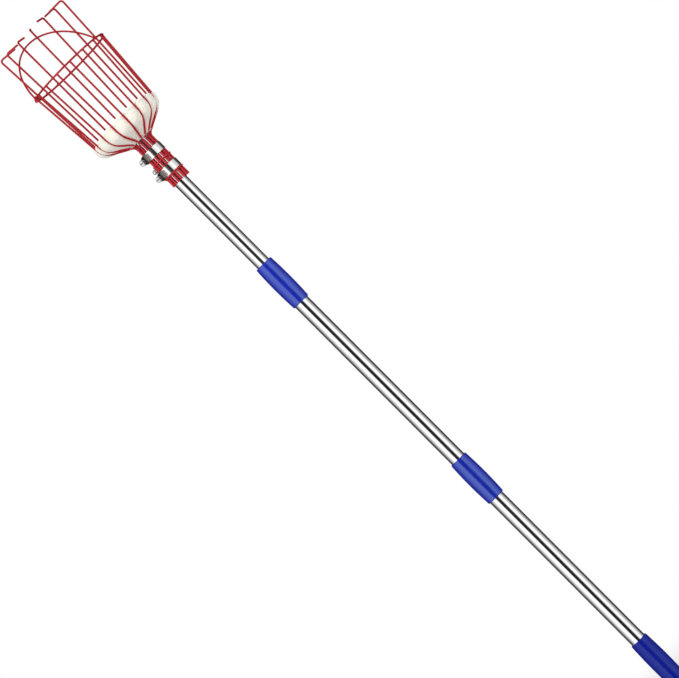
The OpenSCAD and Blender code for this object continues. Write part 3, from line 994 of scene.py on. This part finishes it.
def bolt_washer(mat):
    bore_r, rim_r, x = BOLT_R + 0.1 * MM, 3.9 * MM, NUT_X - 0.8 * MM
    section = fillet([(bore_r, x), (rim_r, x), (rim_r, NUT_X), (bore_r, NUT_X)], 0.15 * MM, 3)
    verts, faces = lathe(section, 64, closed=True)
    piece("pressed_bolt_washer", moved(verts, along_bolt()), faces, mat, BASKET,
          ["bolt_washer"])


def cap_nut(mat):
    """Hexagon nut with a closed dome over the bolt's end."""
    verts, faces = hex_head(8.08 * MM, 3.1 * MM, NUT_X, 0.5 * MM)
    body = (moved(verts, spin_z(radians(30))), faces)
    dome_r, dome_x = 3.2 * MM, NUT_X + 3.0 * MM
    dome = [(dome_r, NUT_X + 2.2 * MM), (dome_r, NUT_X + 3.1 * MM)]
    dome += arc2(0, dome_x, dome_r, 0, pi * 11 / 24, 11) + [(0, dome_x + dome_r)]
    verts, faces = join(body, lathe(dome, 64))
    obj = piece("domed_cap_nut", moved(verts, along_bolt()), faces, mat, BASKET,
                ["cap_nut"], 30)
    with_bevel(obj, 0.08 * MM, 2, 40)


# ---- pole
def turned(name, profile, mat, body, replaced, sides=128, rounding=0.3 * MM):
    """Hollow turned piece, from the closed outline of its wall."""
    verts, faces = lathe(fillet(profile, rounding), sides, closed=True)
    piece(name, verts, faces, mat, body, replaced, 40)


def collar(which, z, upper_r, body, mat):
    """Barrel-shaped moulded sleeve; its bore is wide below z, and fits upper_r above it."""
    half, end_r, swell = 38 * MM, 14 * MM, 1.1 * MM
    bore_r, mouth_r, lip_r = MAIN_R + 0.02 * MM, upper_r + 0.12 * MM, end_r - 0.8 * MM
    foot, top = z - half, z + half
    side = [(end_r + swell * (1 - (i / 14) ** 2), z + i / 14 * (half - 1 * MM)) for i in range(-14, 15)]
    profile = ([(bore_r, foot + 0.4 * MM), (MAIN_R + 0.5 * MM, foot), (lip_r, foot)] + side
               + [(lip_r, top), (upper_r + 0.6 * MM, top), (mouth_r, top - 0.5 * MM), (mouth_r, z + 0.3 * MM),
                  (bore_r, z)])
    turned(f"moulded_{which}_collar", profile, mat, body, [f"{which}_collar"])


def tube(name, z0, z1, body, mat):
    """Thin-walled tube of the pole's main width."""
    wall_r = MAIN_R - 1 * MM
    profile = [(wall_r, z0), (MAIN_R, z0), (MAIN_R, z1), (wall_r, z1)]
    turned(f"drawn_{name}", profile, mat, body, [name], sides=160, rounding=0.15 * MM)


def hand_grip(mat):
    """Neck that swells below its mouth, a shoulder, and a barrel with shallow finger rings."""
    barrel_z, barrel_r, mouth_r = 24 * MM, 16 * MM, 14 * MM
    top, foot = GRIP_TOP_Z, GRIP_FOOT_Z
    swell, ring_depth = 1.1 * MM, 0.16 * MM
    profile = [(MAIN_R, top - 0.4 * MM), (MAIN_R + 0.5 * MM, top), (mouth_r - 0.8 * MM, top)]
    for i in range(29):
        profile.append((mouth_r + swell * sin(radians(140 * i / 28)),
                        top - 1 * MM - (top - barrel_z - 1 * MM) * i / 28))
    profile += [(barrel_r - 0.4 * MM, barrel_z - 4 * MM), (barrel_r, barrel_z - 6 * MM)]
    for i in range(51):
        profile.append((barrel_r - ring_depth * (1 - cos(tau * (i % 10) / 10)),
                        barrel_z - 8 * MM - (barrel_z - 14 * MM - foot) * i / 50))
    profile += [(barrel_r, foot + 1 * MM), (barrel_r - 1 * MM, foot), (MAIN_R, foot)]
    turned("moulded_hand_grip", profile[::-1], mat, "handle_section", ["hand_grip"],
           rounding=0.8 * MM)


def butt_plug(mat):
    """Plug with a rounded flange under the grip and a thin-walled skirt inside it."""
    foot, edge_r, inside_r = GRIP_FOOT_Z, 15 * MM, MAIN_R - 2 * MM
    end, skirt_top = foot - 3 * MM, foot + 7 * MM
    profile = [(0, end), (edge_r - 2 * MM, end), (edge_r, foot - 1 * MM), (edge_r, foot), (MAIN_R, foot),
               (MAIN_R, skirt_top), (inside_r, skirt_top), (inside_r, foot + 1 * MM), (0, foot + 1 * MM)]
    verts, faces = turned_solid(profile, 0.6 * MM, 5, 128)
    piece("moulded_butt_plug", verts, faces, mat, "handle_section", ["butt_plug"], 40)


def dress_node(name, mat):
    """Gives a carried-over CAD node its finish."""
    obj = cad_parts[name]
    obj.data.materials.clear()
    obj.data.materials.append(mat)


# ---- studio
CAMERA_AZ = radians(-5.5)
AIM = Vector((0.0011, 0, 0.688))
CAMERA_DISTANCE = 6.7
CAMERA_LENS = 251.9
CAMERA_RIGHT = (0.7082, 0, -0.7059)  # the picture's right and up, before the camera's turn
CAMERA_UP = (0.7059, 0, 0.7082)


def add_camera():
    """Long lens that looks at the middle of the pole, tilted so that the pole runs across the picture."""
    turn = Matrix.Rotation(CAMERA_AZ, 3, "Z")
    right = turn @ Vector(CAMERA_RIGHT).normalized()
    up = turn @ Vector(CAMERA_UP).normalized()
    back = right.cross(up)
    camera = new_object("camera", bpy.data.cameras.new("camera"))
    camera.data.lens = CAMERA_LENS
    camera.data.sensor_width = 36
    camera.data.clip_end = 100
    camera.data.dof.use_dof = False
    place = Matrix((right, up, back)).transposed().to_4x4()
    place.translation = AIM + back * CAMERA_DISTANCE
    camera.matrix_world = place
    bpy.context.scene.camera = camera


# Brightness of the studio round the object, by degrees from the side the camera stands on, to the right
STUDIO = [(-180, 0.02), (-138, 0.03), (-106, 0.17), (-87, 0.6), (-70, 1.0), (-53, 1.3), (-40, 1.5),
          (-24, 1.35), (-18, 0.6), (-14, 0.02), (16, 0.01), (22, 0.1), (28, 0.7), (40, 1.5), (57, 1.25),
          (74, 0.86), (90, 0.52), (112, 0.1), (138, 0.02), (180, 0.01)]
STUDIO_PEAK = 1.5


def add_world():
    """White to look at, softly white for diffuse light, and soft boxes with a black card for reflections."""
    world = bpy.data.worlds.new("studio")
    bpy.context.scene.world = world
    world.use_nodes = True
    tree = world.node_tree
    tree.nodes.clear()
    coord = add_node(tree, "TexCoord", {})
    turn = add_node(tree, "Mapping", {"Vector": coord.outputs["Generated"], "Rotation": (0, 0, -CAMERA_AZ)})
    x, y, z = add_node(tree, "SeparateXYZ", {"Vector": turn}).outputs
    forwards = add_node(tree, "Math", {0: y, 1: -1}, operation="MULTIPLY")
    angle = add_node(tree, "Math", {0: x, 1: forwards}, operation="ARCTAN2")
    share = add_node(tree, "MapRange", {"Value": angle, "From Min": -pi, "From Max": pi})
    ramp = add_node(tree, "ValToRGB", {"Fac": share})
    elements = ramp.color_ramp.elements
    while len(elements) > 1:
        elements.remove(elements[-1])
    for i, (degrees, value) in enumerate(STUDIO):
        element = elements[0] if i == 0 else elements.new(degrees / 360 + 0.5)
        element.position = degrees / 360 + 0.5
        element.color = (value / STUDIO_PEAK,) * 3 + (1,)
    steep = add_node(tree, "Math", {0: z}, operation="ABSOLUTE")
    strength = add_node(tree, "MapRange", {"Value": steep, "From Min": 0.5, "From Max": 0.85,
                                           "To Min": STUDIO_PEAK, "To Max": 0.4})
    glossy = add_node(tree, "Background", {"Color": ramp, "Strength": strength})
    soft = add_node(tree, "Background", {"Color": WHITE, "Strength": 0.55})
    seen = add_node(tree, "Background", {"Color": WHITE})
    rays = add_node(tree, "LightPath", {}).outputs
    by_gloss = add_node(tree, "MixShader", {"Fac": rays["Is Glossy Ray"], 1: soft, 2: glossy})
    by_camera = add_node(tree, "MixShader", {"Fac": rays["Is Camera Ray"], 1: by_gloss, 2: seen})
    add_node(tree, "OutputWorld", {"Surface": by_camera})


def add_light(name, azimuth, elevation, distance, size, watts):
    """Soft box that faces the basket, azimuth counted like the camera's."""
    light = bpy.data.lights.new(name, "AREA")
    light.shape = "SQUARE"
    light.size = size
    light.energy = watts
    obj = new_object(name, light)
    a, e = CAMERA_AZ + radians(azimuth), radians(elevation)
    towards = Vector((sin(a) * cos(e), -cos(a) * cos(e), sin(e)))
    obj.location = Vector((AXIS_X, 0, BOWL_Z + FOAM_RIM_Z)) + towards * distance
    obj.rotation_euler = towards.to_track_quat("Z", "Y").to_euler()
    obj.visible_glossy = False
    obj.visible_camera = False


def add_floor():
    """Pale floor under the butt that fades into the white of the studio."""
    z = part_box("butt_plug")[0][2] - 0.5 * MM
    radius, rings = 1.3, 12
    verts, faces = lathe([(radius * i / rings, z) for i in range(rings + 1)], 96)
    mesh = bpy.data.meshes.new("floor")
    mesh.from_pydata([tuple(v) for v in verts], [], [face[::-1] for face in faces])
    floor = new_object("floor", mesh)
    mat, tree, shader = new_material("pale_floor", (0.82, 0.82, 0.82), 0.85)
    flat = object_coords(tree, (1, 1, 0))
    length = add_node(tree, "VectorMath", {0: flat}, operation="LENGTH").outputs["Value"]
    fade = add_node(tree, "MapRange", {"Value": length, "From Min": 0.3, "From Max": 1.1},
                    interpolation_type="SMOOTHSTEP")
    white = add_node(tree, "Emission", {"Color": WHITE})
    mix = add_node(tree, "MixShader", {"Fac": fade, 1: shader, 2: white})
    set_sockets(tree, tree.nodes["Material Output"], {"Surface": mix})
    mesh.materials.append(mat)
    floor.visible_glossy = False


# ---- build
def build_basket():
    red = red_coating()
    for k in FINGER_AZ:
        back_finger(k, red)
    for k in FRONT_AZ:
        front_wire(k, red)
    mouth_ring(red)
    arch_hoop(red)
    for name, z in TIE_ZS.items():
        tie_ring(name, z, red)
    welds(red)
    foam_pad(foam())


def build_clamps():
    steel = clamp_steel("clamp_steel", (0.86, 0.86, 0.85))
    # Darker, browner steel on the clamps' tails and housings: painted shade.
    shaded_steel = clamp_steel("painted_shade_steel", (0.4, 0.36, 0.33))
    plated = clamp_steel("plated_steel", (0.52, 0.5, 0.49))
    # Near-black steel painted into the screw slots as their shadow.
    slot_shade = clamp_steel("painted_slot_shadow", (0.05, 0.045, 0.042))
    bright = bright_fastener()
    for which, z in CLAMP_ZS.items():
        clamp_band(which, z, steel, shaded_steel)
        clamp_housing(which, z, shaded_steel)
        clamp_screw(which, z, plated, slot_shade)
    cross_bolt(bright)
    bolt_washer(bright)
    cap_nut(bright)


def build_pole():
    blue = blue_plastic("blue_plastic", (0.006, 0.018, 0.42), 1.0)
    deep_blue = blue_plastic("deep_blue_plastic", (0.004, 0.012, 0.3), 0.3)
    steel = polished_steel()
    collar("lower", LOWER_JOINT_Z, MAIN_R, "handle_section", blue)
    collar("upper", UPPER_JOINT_Z, TOP_R, "middle_section", blue)
    hand_grip(deep_blue)
    butt_plug(deep_blue)
    tube("bottom_tube", -28 * MM, LOWER_JOINT_Z - 5 * MM, "handle_section", steel)
    tube("middle_tube", LOWER_JOINT_Z + 3 * MM, UPPER_JOINT_Z - 5 * MM, "middle_section", steel)
    dress_node("top_tube", steel)
    insert = insert_metal()
    for name in ("lower_socket", "upper_socket", "lower_plug", "upper_plug"):
        dress_node(name, insert)
    rubber = dull("seal_rubber", (0.02, 0.02, 0.02), 0.7, 900, 0.00003)
    for name in ("lower_seal", "upper_seal"):
        dress_node(name, rubber)
    dress_node("tube_cap", dull("black_plastic", (0.018, 0.018, 0.019), 0.55, 1200, 0.00003))


build_pole()
build_basket()
build_clamps()
add_floor()
add_world()
add_light("key", -35, 35, 1.6, 1.0, 17)
add_light("fill", 45, 20, 1.8, 1.2, 9)
add_light("back", 170, 30, 1.8, 1.0, 8)
add_camera()
bpy.context.scene.view_settings.view_transform = "Standard"
